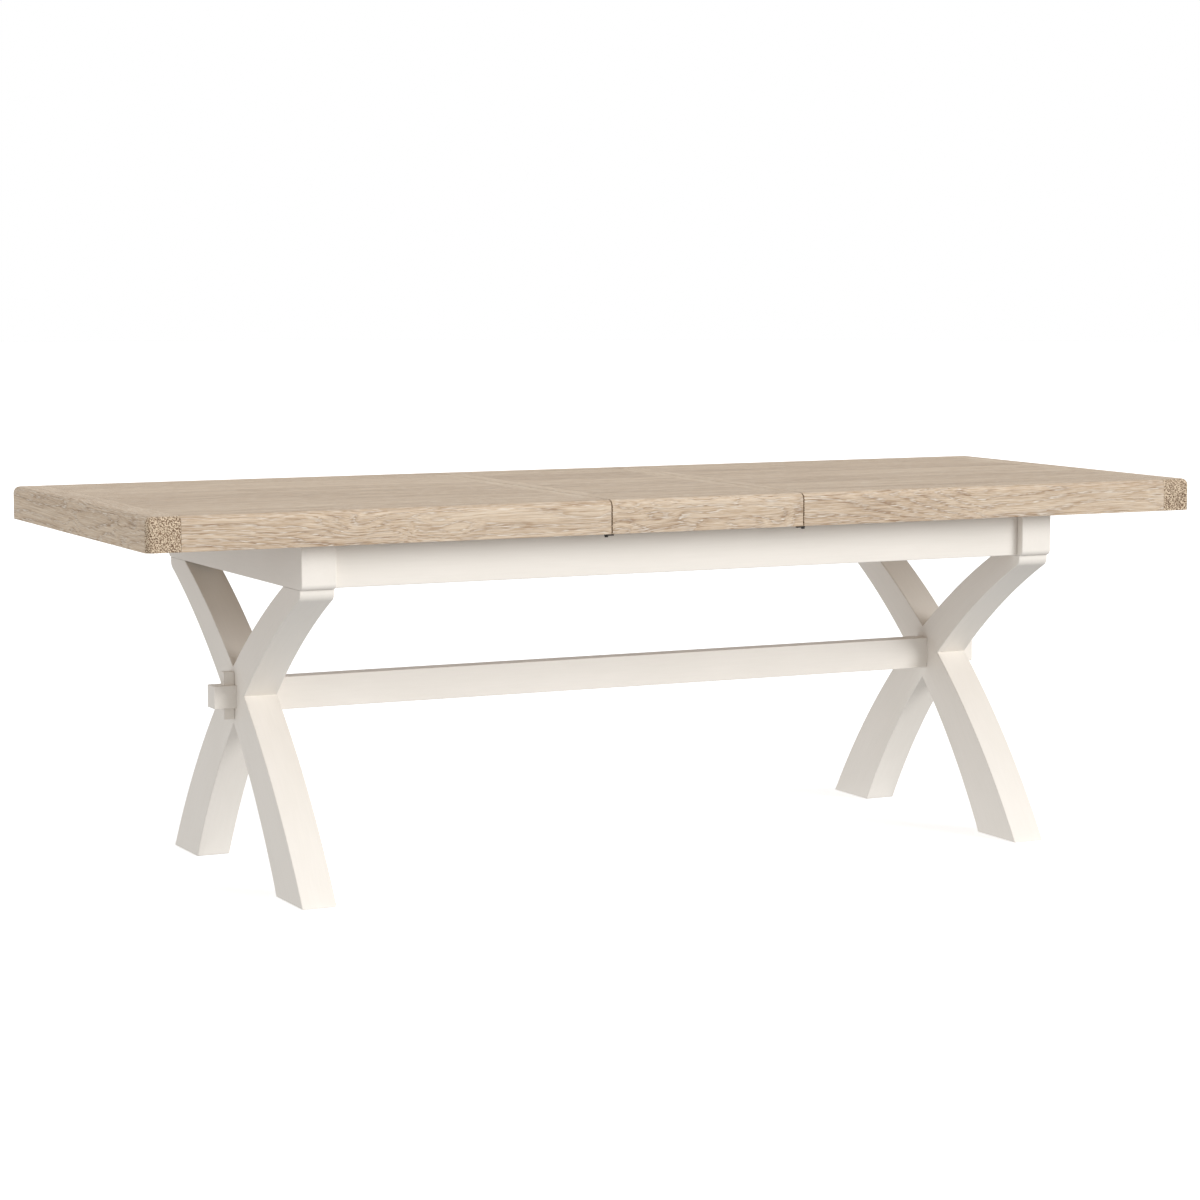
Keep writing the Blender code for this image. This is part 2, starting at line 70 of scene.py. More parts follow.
# ---- light: directions point to the source, spreads in degrees -----------------------
# how bright the surroundings are from straight down (0) over the horizon (0.5) to straight up (1)
SKY_LEVELS = ((0.0, 0.43), (0.48, 0.43), (0.52, 0.71), (1.0, 0.71))
KEY_FROM = (0.75, -1.0, 0.443)
KEY_STRENGTH = 2.15
KEY_SPREAD = 36.0
FILL_FROM = (-1.0, 0.15, -0.30)
FILL_STRENGTH = 0.64
FILL_SPREAD = 70.0
BOUNCE_SIZE = (1.7, 0.8)
BOUNCE_POWER = 0.9
FLOOR_GREY = 0.90
FLOOR_GLOW = 0.50
FLOOR_DROP = 0.0005
FLOOR_RADIUS = 40.0
FLOOR_SIDES = 96

# ---- leg curves, as in the CAD ------------------------------------------------
FOOT_OUTER = 0.386
FOOT_INNER = 0.239
CROSSING_LOW = 0.317
CROSSING_HIGH = 0.4315
SHOULDER_REACH = 0.3746
SHOULDER_HEIGHT = 0.598
NECK_REACH = 0.387
NECK_ROUND = 0.018
ARM_INNER = 0.294
LEG_ARC_STEPS = 48
NECK_STEPS = 10
LEG_EASE = 0.0022
LAP_GROW = 0.0003
CUT_MARGIN = 0.001

# ---- other shapes -------------------------------------------------------------
EDGE_ROUND = 0.014
EDGE_ROUND_STEPS = 8
SEAM_EASE = 0.0008
SEAM_SET_BACK = 0.0004
JOINT_EASE = 0.0003
STAVE_WIDTH = 0.094
BEARER_ROUND = 0.011
BEARER_ROUND_STEPS = 8
BEARER_EASE = 0.0018
BEARER_TOP_EASE = 0.0006
RAIL_EASE = 0.0016
TUSK_KEY_EASE = 0.0012
HIDDEN_EASE = 0.0008
FITTED_GAP = 0.0003
SHARP_EDGE = math.radians(30)
FACET_EDGE = math.radians(0.5)
SMOOTH_UP_TO = math.radians(50)

# ---- boards ------------------------------------------------------------------------
# tone is added to the wood's lightness, which runs from 0 to 1
END_BOARD_TONE = 0.05
STRIP_TONE = 0.06
RIGHT_LEAF_STRIP_TONE = 0.03
STAVE_TONE_SWING = 0.05
# shifts into the axes of a board's own tree: along the trunk, to one side of the pith, and down
# to about the pith's level for the boards of the top
TRUNK_REACH = 9
PITH_ASIDE = (0.05, 0.11)
PITH_LEVEL = (-0.78, -0.70)
# end grain is full on faces whose normal points along the fibres by at least 1 / this
END_GRAIN_REACH = 2.0


# ---- shader graphs ---------------------------------------------------------------
def set_stops(band, stops):
    """Stops of a colour ramp: pairs of a place and a colour or grey level."""
    while len(band.elements) < len(stops):
        band.elements.new(1.0)
    for element, (place, colour) in zip(band.elements, stops):
        element.position = place
        element.color = (*colour, 1.0) if isinstance(colour, tuple) else (colour,) * 3 + (1.0,)


class Graph:
    """A material whose node tree is written as nested calls, each returning a node's output."""

    def __init__(self, name):
        self.material = bpy.data.materials.new(name)
        self.material.use_nodes = True
        self.tree = self.material.node_tree
        self.shader = self.tree.nodes["Principled BSDF"]

    def feed(self, socket, value):
        """Link a node's output to a socket, or set the socket to a plain value."""
        if isinstance(value, bpy.types.NodeSocket):
            self.tree.links.new(value, socket)
        else:
            socket.default_value = value

    def math(self, operation, first, second=0.0):
        node = self.tree.nodes.new("ShaderNodeMath")
        node.operation = operation
        self.feed(node.inputs[0], first)
        self.feed(node.inputs[1], second)
        return node.outputs[0]

    def vector(self, operation, first, second=(0.0, 0.0, 0.0)):
        node = self.tree.nodes.new("ShaderNodeVectorMath")
        node.operation = operation
        self.feed(node.inputs[0], first)
        self.feed(node.inputs[1], second)
        return node.outputs["Value"] if operation == "LENGTH" else node.outputs["Vector"]

    def attribute(self, name, output):
        node = self.tree.nodes.new("ShaderNodeAttribute")
        node.attribute_name = name
        return node.outputs[output]

    def noise(self, vector, stretch, detail=2.0, roughness=0.5, output="Fac"):
        """Noise with about stretch swings in a metre along each axis of the vector."""
        node = self.tree.nodes.new("ShaderNodeTexNoise")
        node.inputs["Scale"].default_value = 1.0
        node.inputs["Detail"].default_value = detail
        node.inputs["Roughness"].default_value = roughness
        self.feed(node.inputs["Vector"], self.vector("MULTIPLY", vector, stretch))
        return node.outputs[output]

    def wander(self, vector, stretch, reach, detail):
        """A displacement of up to about reach along each axis, from noise."""
        colour = self.noise(vector, stretch, detail, output="Color")
        return self.vector("MULTIPLY", self.vector("SUBTRACT", colour, (0.5, 0.5, 0.5)), reach)

    def ramp(self, factor, stops, smooth=False):
        node = self.tree.nodes.new("ShaderNodeValToRGB")
        node.color_ramp.interpolation = "EASE" if smooth else "LINEAR"
        set_stops(node.color_ramp, stops)
        self.feed(node.inputs["Fac"], factor)
        return node.outputs["Color"]

    def mix(self, factor, first, second, blend="MIX"):
        node = self.tree.nodes.new("ShaderNodeMix")
        node.data_type = "RGBA"
        node.blend_type = blend
        self.feed(node.inputs["Factor"], factor)
        self.feed(node.inputs["A"], (*first, 1.0) if isinstance(first, tuple) else first)
        self.feed(node.inputs["B"], (*second, 1.0) if isinstance(second, tuple) else second)
        return node.outputs["Result"]

    def total(self, *terms):
        """Sum of (value, weight) pairs, each value counted from its middle, plus a half."""
        result = 0.5
        for value, weight in terms:
            swing = self.math("MULTIPLY", self.math("SUBTRACT", value, 0.5), weight)
            result = self.math("ADD", swing, result)
        return result

    def bump(self, height, distance, strength):
        node = self.tree.nodes.new("ShaderNodeBump")
        node.inputs["Strength"].default_value = strength
        node.inputs["Distance"].default_value = distance
        self.feed(node.inputs["Height"], height)
        self.feed(self.shader.inputs["Normal"], node.outputs["Normal"])


def srgb(red, green, blue):
    """Linear colour of an 8-bit screen colour."""
    def linear(value):
        value /= 255.0
        return value / 12.92 if value <= 0.04045 else ((value + 0.055) / 1.055) ** 2.4
    return (linear(red), linear(green), linear(blue))


def bend_grain(graph, grain):
    """Board axes bent by the tree's growth, so that rings and fibres wander and swirl in places."""
    bend = graph.wander(grain, (1.3, 9.0, 9.0), (0.0, 0.044, 0.044), 1.0)
    swirl = graph.wander(grain, (9.0, 28.0, 28.0), (0.0, 0.017, 0.017), 1.0)
    place = graph.ramp(graph.noise(grain, (2.6, 3.0, 3.0)), [(0.50, 0.0), (0.60, 1.0)])
    curl = graph.wander(grain, (16.0, 60.0, 60.0), (0.0, 0.0007, 0.0007), 2.0)
    bent = graph.vector("ADD", grain, graph.vector("ADD", bend, curl))
    return graph.vector("ADD", bent, graph.vector("MULTIPLY", swirl, place))


def end_grain_colour(graph, bent, dark, middle, tint, dots):
    """Cut ends of the fibres: rays from the pith under small dots."""
    rays = graph.ramp(graph.noise(bent, (0.0, 150.0, 18.0), 2.0), [(0.35, dark), (0.68, middle)])
    speckle = graph.noise(bent, (450.0, 410.0, 440.0), 1.0, 0.7)
    tinted = graph.mix(1.0, rays, tint, "MULTIPLY")
    return graph.mix(graph.ramp(speckle, [(0.47, 0.0), (0.53, 1.0)]), tinted, dots)


def make_wood(name, tones, pore, end_tint, end_dots, roughness, ring_width=0.0028):
    """Solid wood: rings about a pith, fibres, pores and blotches, all in a board's own axes."""
    dark, middle, light = tones
    graph = Graph(name)
    tone = graph.attribute("tone", "Fac")
    bent = bend_grain(graph, graph.attribute("grain", "Vector"))
    radius = graph.vector("LENGTH", graph.vector("MULTIPLY", bent, (0.0, 1.0, 1.0)))
    phase = graph.math("FRACT", graph.math("DIVIDE", radius, ring_width))
    ring_stops = [(0.0, 0.0), (0.14, 0.20), (0.38, 0.80), (0.78, 0.70), (1.0, 0.0)]
    ring = graph.ramp(phase, ring_stops, True)
    early = graph.ramp(phase, [(0.0, 1.0), (0.45, 0.40), (0.9, 0.30), (1.0, 1.0)], True)
    fibre = graph.noise(bent, (10.0, 720.0, 720.0), 3.0, 0.68)
    streak = graph.noise(bent, (4.2, 370.0, 370.0), 2.0)
    band = graph.noise(bent, (1.2, 26.0, 26.0), 2.0)
    light_speck = graph.noise(bent, (38.0, 900.0, 900.0), 1.0)
    elsewhere = graph.vector("ADD", bent, (7.3, 3.1, 5.9))
    dark_speck = graph.noise(elsewhere, (8.0, 760.0, 760.0), 1.0)
    pores = graph.math("MULTIPLY", graph.ramp(light_speck, [(0.48, 0.0), (0.58, 1.0)]), early)
    lines = graph.math("MULTIPLY", graph.ramp(dark_speck, [(0.53, 0.0), (0.66, 1.0)]), early)
    value = graph.total((ring, 0.27), (fibre, 1.25), (streak, 0.72), (band, 0.55))
    value = graph.math("ADD", value, tone)
    colour = graph.ramp(value, [(0.20, dark), (0.50, middle), (0.80, light)])
    colour = graph.mix(graph.math("MULTIPLY", pores, 0.85), colour, pore)
    colour = graph.mix(graph.math("MULTIPLY", lines, 0.55), colour, dark)
    ends = end_grain_colour(graph, bent, dark, middle, end_tint, end_dots)
    colour = graph.mix(graph.attribute("end_grain", "Fac"), colour, ends)
    graph.feed(graph.shader.inputs["Base Color"], colour)
    graph.shader.inputs["Specular IOR Level"].default_value = 0.35
    gloss = graph.math("ADD", graph.math("MULTIPLY", fibre, 0.16), roughness - 0.08)
    gloss = graph.math("ADD", gloss, graph.math("MULTIPLY", pores, 0.12))
    graph.feed(graph.shader.inputs["Roughness"], gloss)
    relief = graph.total((fibre, 0.5), (ring, 0.35))
    relief = graph.math("SUBTRACT", relief, graph.math("MULTIPLY", pores, 0.6))
    graph.bump(relief, 0.0005, 0.35)
    return graph.material


def make_paint(name):
    """Brushed ivory paint: faint strokes along the member and the timber's grain under it."""
    graph = Graph(name)
    grain = graph.attribute("grain", "Vector")
    cloud = graph.noise(grain, (5.0, 9.0, 9.0), 2.0)
    stroke = graph.noise(grain, (7.0, 420.0, 420.0), 2.0, 0.6)
    under = graph.noise(grain, (14.0, 150.0, 150.0), 3.0, 0.55)
    shade = graph.total((cloud, 0.5), (stroke, 0.20), (under, 0.30))
    colour = graph.ramp(shade, [(0.25, srgb(233, 227, 218)), (0.75, srgb(241, 235, 227))])
    graph.feed(graph.shader.inputs["Base Color"], colour)
    gloss = graph.math("ADD", graph.math("MULTIPLY", stroke, 0.14), 0.33)
    graph.feed(graph.shader.inputs["Roughness"], gloss)
    graph.bump(graph.total((stroke, 0.5), (under, 0.8)), 0.0002, 0.30)
    return graph.material


def make_steel(name):
    """Blackened steel with fine scratches."""
    graph = Graph(name)
    grain = graph.attribute("grain", "Vector")
    scratch = graph.noise(grain, (60.0, 1800.0, 1800.0), 2.0)
    cloud = graph.noise(grain, (90.0, 90.0, 90.0), 2.0)
    colour = graph.ramp(graph.total((scratch, 0.6), (cloud, 0.6)),
                        [(0.25, (0.028, 0.026, 0.024)), (0.8, (0.085, 0.080, 0.074))])
    graph.feed(graph.shader.inputs["Base Color"], colour)
    graph.shader.inputs["Metallic"].default_value = 0.85
    gloss = graph.math("ADD", graph.math("MULTIPLY", scratch, 0.25), 0.28)
    graph.feed(graph.shader.inputs["Roughness"], gloss)
    graph.bump(scratch, 0.00005, 0.3)
    return graph.material


MATERIALS = {
    "limed_oak": make_wood(
        "limed_oak", (srgb(150, 124, 99), srgb(192, 169, 143), srgb(217, 198, 174)),
        pore=srgb(228, 219, 206), end_tint=srgb(168, 152, 137), end_dots=srgb(217, 197, 170),
        roughness=0.62),
    "bare_hardwood": make_wood(
        "bare_hardwood", (srgb(150, 112, 74), srgb(186, 148, 106), srgb(208, 174, 132)),
        pore=srgb(140, 100, 66), end_tint=srgb(220, 206, 190), end_dots=srgb(196, 160, 120),
        roughness=0.60, ring_width=0.0032),
    "ivory_paint": make_paint("ivory_paint"),
    "dark_steel": make_steel("dark_steel"),
}


# ---- mesh helpers -------------------------------------------------------------------
def box_shape(low, high):
    shape = bmesh.new()
    bmesh.ops.create_cube(shape, size=1.0)
    bmesh.ops.scale(shape, vec=Vector(high) - Vector(low), verts=shape.verts)
    bmesh.ops.translate(shape, vec=(Vector(low) + Vector(high)) / 2, verts=shape.verts)
    return shape


def prism_shape(outline, place, sweep):
    """Extrude a closed outline. place(u, v) gives a 3-D point, sweep the extrusion."""
    shape = bmesh.new()
    face = shape.faces.new([shape.verts.new(place(u, v)) for u, v in outline])
    swept = bmesh.ops.extrude_face_region(shape, geom=[face])
    moved = [item for item in swept["geom"] if isinstance(item, bmesh.types.BMVert)]
    bmesh.ops.translate(shape, vec=sweep, verts=moved)
    bmesh.ops.recalc_face_normals(shape, faces=shape.faces)
    return shape


def arc_points(centre, radius, start, end, steps):
    """Points along an arc from one angle to another."""
    return [(centre[0] + radius * math.cos(start + (end - start) * step / steps),
             centre[1] + radius * math.sin(start + (end - start) * step / steps))
            for step in range(steps + 1)]


def bevel_edges(shape, width, steps, chosen):
    """Round the edges that chosen picks."""
    edges = [edge for edge in shape.edges if chosen(edge)]
    if edges:
        bmesh.ops.bevel(shape, geom=edges, offset=width, offset_type="OFFSET", segments=steps,
                        profile=0.5, affect="EDGES", clamp_overlap=False)


def is_sharp(edge, limit=SHARP_EDGE):
    return len(edge.link_faces) == 2 and edge.is_convex and edge.calc_face_angle(0.0) > limit


def lies_at(edge, axis, value, within=0.0001):
    return all(abs(vert.co[axis] - value) < within for vert in edge.verts)


def ease_all(shape, width, steps):
    """Round all the sharp edges that are left."""
    bevel_edges(shape, width, steps, is_sharp)


def to_mesh(shape, name):
    """Mesh of a shape, with points and faces in an order that only its form decides."""
    verts = sorted(shape.verts, key=lambda vert: [round(value, 6) for value in vert.co])
    place = {vert: index for index, vert in enumerate(verts)}
    rings = []
    for face in shape.faces:
        ring = [place[vert] for vert in face.verts]
        first = ring.index(min(ring))
        rings.append(ring[first:] + ring[:first])
    mesh = bpy.data.meshes.new(name)
    mesh.from_pydata([vert.co[:] for vert in verts], [], sorted(rings))
    shape.free()
    return mesh


def boolean_mesh(base, cutter, operation):
    """Mesh of base and cutter combined. Both are meshes that nothing else uses."""
    held = bpy.data.objects.new("held", base)
    tool = bpy.data.objects.new("tool", cutter)
    for each in (held, tool):
        bpy.context.scene.collection.objects.link(each)
    step = held.modifiers.new("cut", "BOOLEAN")
    step.operation = operation
    step.solver = "EXACT"
    step.object = tool
    bpy.context.view_layer.update()
    finished = held.evaluated_get(bpy.context.evaluated_depsgraph_get())
    result = bpy.data.meshes.new_from_object(finished)
    bpy.data.objects.remove(held)
    bpy.data.objects.remove(tool)
    shape = bmesh.new()
    shape.from_mesh(result)
    return to_mesh(shape, base.name)


# ---- board axes: what the materials read ----------------------------------------------------
def along_x(point):
    return (point.x, point.y, point.z)


def along_y(point):
    return (point.y, point.x, point.z)


def along_z(point):
    return (point.z, point.x, point.y)


GRAIN_AXIS = {along_x: 0, along_y: 1, along_z: 2}


def write_grain(mesh, axes, seed, tone=0.0, stave_of=None):
    """Give each face corner its place in its own board, the board's tone and its end grain.

    Each stave of a glued panel, or else the whole piece, is a board cut from its own place.
    """
    for name, kind in (("grain", "FLOAT_VECTOR"), ("tone", "FLOAT"), ("end_grain", "FLOAT")):
        mesh.attributes.new(name, kind, "CORNER")
    grain, tones, ends = [mesh.attributes[name].data for name in ("grain", "tone", "end_grain")]
    axis = GRAIN_AXIS.get(axes)
    boards = {}
    for face in mesh.polygons:
        stave = stave_of(face.center) if stave_of else 0
        if stave not in boards:
            draw = random.Random(f"{seed}_{stave}")
            side = draw.choice((-1, 1))
            shift = (draw.uniform(-TRUNK_REACH, TRUNK_REACH), side * draw.uniform(*PITH_ASIDE),
                     draw.uniform(*PITH_LEVEL))
            swing = draw.uniform(-STAVE_TONE_SWING, STAVE_TONE_SWING)
            boards[stave] = (shift, tone + swing if stave_of else tone)
        shift, board_tone = boards[stave]
        facing = 0.0 if axis is None else abs(face.normal[axis])
        end_share = min(1.0, END_GRAIN_REACH * facing) ** 2
        for corner in face.loop_indices:
            place = axes(mesh.vertices[mesh.loops[corner].vertex_index].co)
            grain[corner].vector = [a + b for a, b in zip(place, shift)]
            tones[corner].value = board_tone
            ends[corner].value = end_share


def add_piece(mesh, node, axes, tone=0.0, stave_of=None):
    """Put a finished mesh in the scene in place of its CAD node."""
    slot = NODE_SLOT[node]
    name = node + SLOT_SUFFIX[slot]
    mesh.name = name
    mesh.materials.clear()
    mesh.materials.append(MATERIALS[slot])
    write_grain(mesh, axes, node, tone, stave_of)
    mesh.shade_smooth()
    mesh.set_sharp_from_angle(angle=SMOOTH_UP_TO)
    piece = bpy.data.objects.new(name, mesh)
    bpy.context.scene.collection.objects.link(piece)
    weighting = piece.modifiers.new("flat_faces_stay_flat", "WEIGHTED_NORMAL")
    weighting.keep_sharp = True
    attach(piece, NODE_BODY[node])
    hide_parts(node)


# ---- table top ------------------------------------------------------------------------
def cut_staves(shape, low, high):
    """Part a panel's faces along its glue lines, and return what tells a point's stave."""
    count = round((high.y - low.y) / STAVE_WIDTH)
    width = (high.y - low.y) / count
    for index in range(1, count):
        geometry = list(shape.verts) + list(shape.edges) + list(shape.faces)
        bmesh.ops.bisect_plane(shape, geom=geometry, plane_co=(0, low.y + index * width, 0),
                               plane_no=(0, 1, 0))

    def stave_of(point):
        return min(count - 1, int((point.y - low.y) / width))

    return stave_of


def make_top_board(node, axes, tone=0.0, rounded=None, seams=(), staves=False):
    """A board of the top.

    rounded picks its big rounded edges, and seams are the X of its ends that lie loose
    against a neighbour.
    """
    low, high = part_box(node)
    shape = box_shape(low, high)
    for seam in seams:
        for vert in shape.verts:
            if abs(vert.co.x - seam) < SEAM_SET_BACK:
                vert.co.x += SEAM_SET_BACK if seam == low.x else -SEAM_SET_BACK
    if rounded:
        bevel_edges(shape, EDGE_ROUND, EDGE_ROUND_STEPS, rounded)
    for seam in seams:
        bevel_edges(shape, SEAM_EASE, 2,
                    lambda edge: lies_at(edge, 0, seam, 2 * SEAM_SET_BACK) and is_sharp(edge))
    ease_all(shape, JOINT_EASE, 1)
    stave_of = cut_staves(shape, low, high) if staves else None
    add_piece(to_mesh(shape, node), node, axes, tone, stave_of)


def make_end_board(node, side):
    """Board across the end of one half, rounded on its top and its outer corners."""
    low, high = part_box(node)
    outer = high.x if side > 0 else low.x

    def on_outside(edge):
        end = lies_at(edge, 0, outer)
        flank = lies_at(edge, 1, low.y) or lies_at(edge, 1, high.y)
        return (lies_at(edge, 2, high.z) and (end or flank)) or (end and flank)

    make_top_board(node, along_y, END_BOARD_TONE, on_outside)


def make_edge_rails(name, seams):
    """Front and back rail of a half or of the leaf, rounded on their outer top edge."""
    for side, flank in ((-1, "front"), (1, "back")):
        node = name + "_" + flank + "_edge_rail"
        low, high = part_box(node)
        outer = low.y if side < 0 else high.y
        make_top_board(node, along_x, seams=seams, rounded=lambda edge: lies_at(edge, 1, outer)
                       and lies_at(edge, 2, high.z))


def make_top():
    for side, name in ((-1, "left"), (1, "right")):
        make_end_board(name + "_end_board", side)
        strip_low, strip_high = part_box(name + "_seam_strip")
        seam = strip_low.x if side > 0 else strip_high.x
        make_top_board(name + "_seam_strip", along_y, STRIP_TONE, seams=[seam])
        make_top_board(name + "_panel", along_x, staves=True)
        make_edge_rails(name, [seam])
    leaf_low, leaf_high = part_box("leaf_front_edge_rail")
    make_top_board("leaf_panel", along_x, staves=True)
    make_top_board("leaf_left_strip", along_y, STRIP_TONE, seams=[leaf_low.x])
    make_top_board("leaf_right_strip", along_y, RIGHT_LEAF_STRIP_TONE, seams=[leaf_high.x])
    make_edge_rails("leaf", [leaf_low.x, leaf_high.x])


# ---- crossed legs -----------------------------------------------------------------------
def circle_through(first, second, third):
    """Centre and radius of the circle through three points."""
    ax, ay = first
    bx, by = second
    cx, cy = third
    twice_area = 2 * (ax * (by - cy) + bx * (cy - ay) + cx * (ay - by))
    a_square, b_square, c_square = ax * ax + ay * ay, bx * bx + by * by, cx * cx + cy * cy
    centre_x = (a_square * (by - cy) + b_square * (cy - ay) + c_square * (ay - by)) / twice_area
    centre_y = (a_square * (cx - bx) + b_square * (ax - cx) + c_square * (bx - ax)) / twice_area
    return (centre_x, centre_y), math.hypot(ax - centre_x, ay - centre_y)


ARM_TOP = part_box("left_leg_rising_front")[1].z
LOWER_CENTRE, LOWER_RADIUS = circle_through(
    (-FOOT_INNER, 0.0), (0.0, CROSSING_LOW), (SHOULDER_REACH, SHOULDER_HEIGHT))
UPPER_CENTRE, UPPER_RADIUS = circle_through(
    (-FOOT_OUTER, 0.0), (0.0, CROSSING_HIGH), (ARM_INNER, ARM_TOP))


def angle_at_height(centre, radius, height):
    """Direction from a circle's centre to its point at a height, on the negative side."""
    return math.pi - math.asin((height - centre[1]) / radius)


def neck_round():
    """Centre of the small round between a leg's lower arc and its upright neck, and its start."""
    across = NECK_REACH - NECK_ROUND
    reach = LOWER_RADIUS + NECK_ROUND
    height = LOWER_CENTRE[1] + math.sqrt(reach ** 2 - (across - LOWER_CENTRE[0]) ** 2)
    return (across, height), math.atan2(height - LOWER_CENTRE[1], across - LOWER_CENTRE[0])


def leg_cutter_outline():
    """Side outline just outside one leg: foot on the negative side, top on the positive."""
    lower_radius, upper_radius = LOWER_RADIUS - LAP_GROW, UPPER_RADIUS + LAP_GROW
    sole, crest = -CUT_MARGIN, ARM_TOP + CUT_MARGIN
    centre, shoulder = neck_round()
    lower = arc_points(LOWER_CENTRE, lower_radius,
                       angle_at_height(LOWER_CENTRE, lower_radius, sole), shoulder, LEG_ARC_STEPS)
    neck = arc_points(centre, NECK_ROUND + LAP_GROW, shoulder - math.pi, 0.0, NECK_STEPS)
    upper = arc_points(UPPER_CENTRE, upper_radius,
                       angle_at_height(UPPER_CENTRE, upper_radius, crest),
                       angle_at_height(UPPER_CENTRE, upper_radius, sole), LEG_ARC_STEPS)
    return lower + neck[1:] + [(NECK_REACH + LAP_GROW, crest)] + upper


def armpit():
    """Where one leg's lower arc meets the other leg's upper arc, on the positive side."""
    mirrored = (-UPPER_CENTRE[0], UPPER_CENTRE[1])
    gap_x, gap_y = mirrored[0] - LOWER_CENTRE[0], mirrored[1] - LOWER_CENTRE[1]
    gap = math.hypot(gap_x, gap_y)
    along = (gap ** 2 + LOWER_RADIUS ** 2 - UPPER_RADIUS ** 2) / (2 * gap)
    across = math.sqrt(LOWER_RADIUS ** 2 - along ** 2)
    meetings = [(LOWER_CENTRE[0] + (along * gap_x - turn * across * gap_y) / gap,
                 LOWER_CENTRE[1] + (along * gap_y + turn * across * gap_x) / gap)
                for turn in (-1, 1)]
    return next(point for point in meetings if point[0] > 0 and 0 < point[1] < ARM_TOP)


def angle_of(centre, point):
    """Direction of a point seen from a centre that lies on its positive side."""
    return math.atan2(point[1] - centre[1], point[0] - centre[0]) % (2 * math.pi)


def crossed_outline():
    """Side outline of both legs together."""
    pit = armpit()
    centre, shoulder = neck_round()
    inside_arm = arc_points(UPPER_CENTRE, UPPER_RADIUS,
                            angle_of(UPPER_CENTRE, (0.0, CROSSING_HIGH)),
                            angle_at_height(UPPER_CENTRE, UPPER_RADIUS, ARM_TOP), LEG_ARC_STEPS)
    neck = arc_points(centre, NECK_ROUND, 0.0, shoulder - math.pi, NECK_STEPS)
    under_arm = arc_points(LOWER_CENTRE, LOWER_RADIUS, shoulder,
                           angle_of(LOWER_CENTRE, pit), LEG_ARC_STEPS)
    outside_leg = arc_points(UPPER_CENTRE, UPPER_RADIUS,
                             angle_of(UPPER_CENTRE, (-pit[0], pit[1])),
                             angle_at_height(UPPER_CENTRE, UPPER_RADIUS, 0.0), LEG_ARC_STEPS)
    inside_leg = arc_points(LOWER_CENTRE, LOWER_RADIUS,
                            angle_at_height(LOWER_CENTRE, LOWER_RADIUS, 0.0),
                            angle_of(LOWER_CENTRE, (0.0, CROSSING_LOW)), LEG_ARC_STEPS)
    leg = [(-along, height) for along, height in outside_leg[1:] + inside_leg]
    half = inside_arm + [(NECK_REACH, ARM_TOP)] + neck + under_arm[1:] + leg
    return half + [(-along, height) for along, height in reversed(half[1:-1])]


def leg_cutter(lean, near_x, far_x):
    """Extruded leg outline; lean is the Y direction in which the leg's top lies."""
    shape = prism_shape(leg_cutter_outline(), lambda along, height: (near_x, lean * along, height),
                        (far_x - near_x, 0.0, 0.0))
    return to_mesh(shape, "leg")


def leg_axes(lean):
    """Board axes of a curved leg: along the sweep of its arc, across it, and through it."""
    centre = ((LOWER_CENTRE[0] + UPPER_CENTRE[0]) / 2, (LOWER_CENTRE[1] + UPPER_CENTRE[1]) / 2)
    middle = (LOWER_RADIUS + UPPER_RADIUS) / 2

    def axes(point):
        along, up = lean * point.y - centre[0], point.z - centre[1]
        return (math.atan2(up, along) * middle, math.hypot(along, up) - middle, point.x)

    return axes


def make_crossed_legs(low, high):
    """Both legs of the right X frame as one eased shape, with the stretcher's mortise."""
    shape = prism_shape(crossed_outline(), lambda along, height: (low.x, along, height),
                        (high.x - low.x, 0.0, 0.0))

    def on_rim(edge):
        """Edges of the side faces and of the soles, except under the bearer."""
        side = lies_at(edge, 0, low.x) or lies_at(edge, 0, high.x)
        turns = is_sharp(edge, FACET_EDGE) and not lies_at(edge, 2, ARM_TOP)
        return turns and (side or lies_at(edge, 2, 0.0))

    bevel_edges(shape, LEG_EASE, 3, on_rim)
    tenon_low, tenon_high = tenon_section()
    mortise = box_shape((low.x - CUT_MARGIN, tenon_low.y - FITTED_GAP, tenon_low.z - FITTED_GAP),
                        (high.x + CUT_MARGIN, tenon_high.y + FITTED_GAP, tenon_high.z + FITTED_GAP))
    return boolean_mesh(to_mesh(shape, "crossed"), to_mesh(mortise, "mortise"), "DIFFERENCE")


def mirrored_mesh(mesh):
    """The mesh on the other side of the table's middle."""
    shape = bmesh.new()
    shape.from_mesh(mesh)
    bmesh.ops.scale(shape, vec=(-1.0, 1.0, 1.0), verts=shape.verts)
    bmesh.ops.reverse_faces(shape, faces=shape.faces)
    return to_mesh(shape, mesh.name)


def make_legs():
    """Part the eased X at the halving. So each leg is a piece, and no line shows between them."""
    low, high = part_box("right_leg_rising_front")
    crossed = make_crossed_legs(low, high)
    before, behind = low.x - CUT_MARGIN, high.x + CUT_MARGIN
    share = boolean_mesh(leg_cutter(1, before, behind),
                         leg_cutter(-1, before - CUT_MARGIN, (low.x + high.x) / 2), "DIFFERENCE")
    rising_front = boolean_mesh(crossed.copy(), share.copy(), "DIFFERENCE")
    rising_back = boolean_mesh(crossed, share, "INTERSECT")
    add_piece(mirrored_mesh(rising_front), "left_leg_rising_front", leg_axes(-1))
    add_piece(mirrored_mesh(rising_back), "left_leg_rising_back", leg_axes(1))
    add_piece(rising_front, "right_leg_rising_front", leg_axes(-1))
    add_piece(rising_back, "right_leg_rising_back", leg_axes(1))


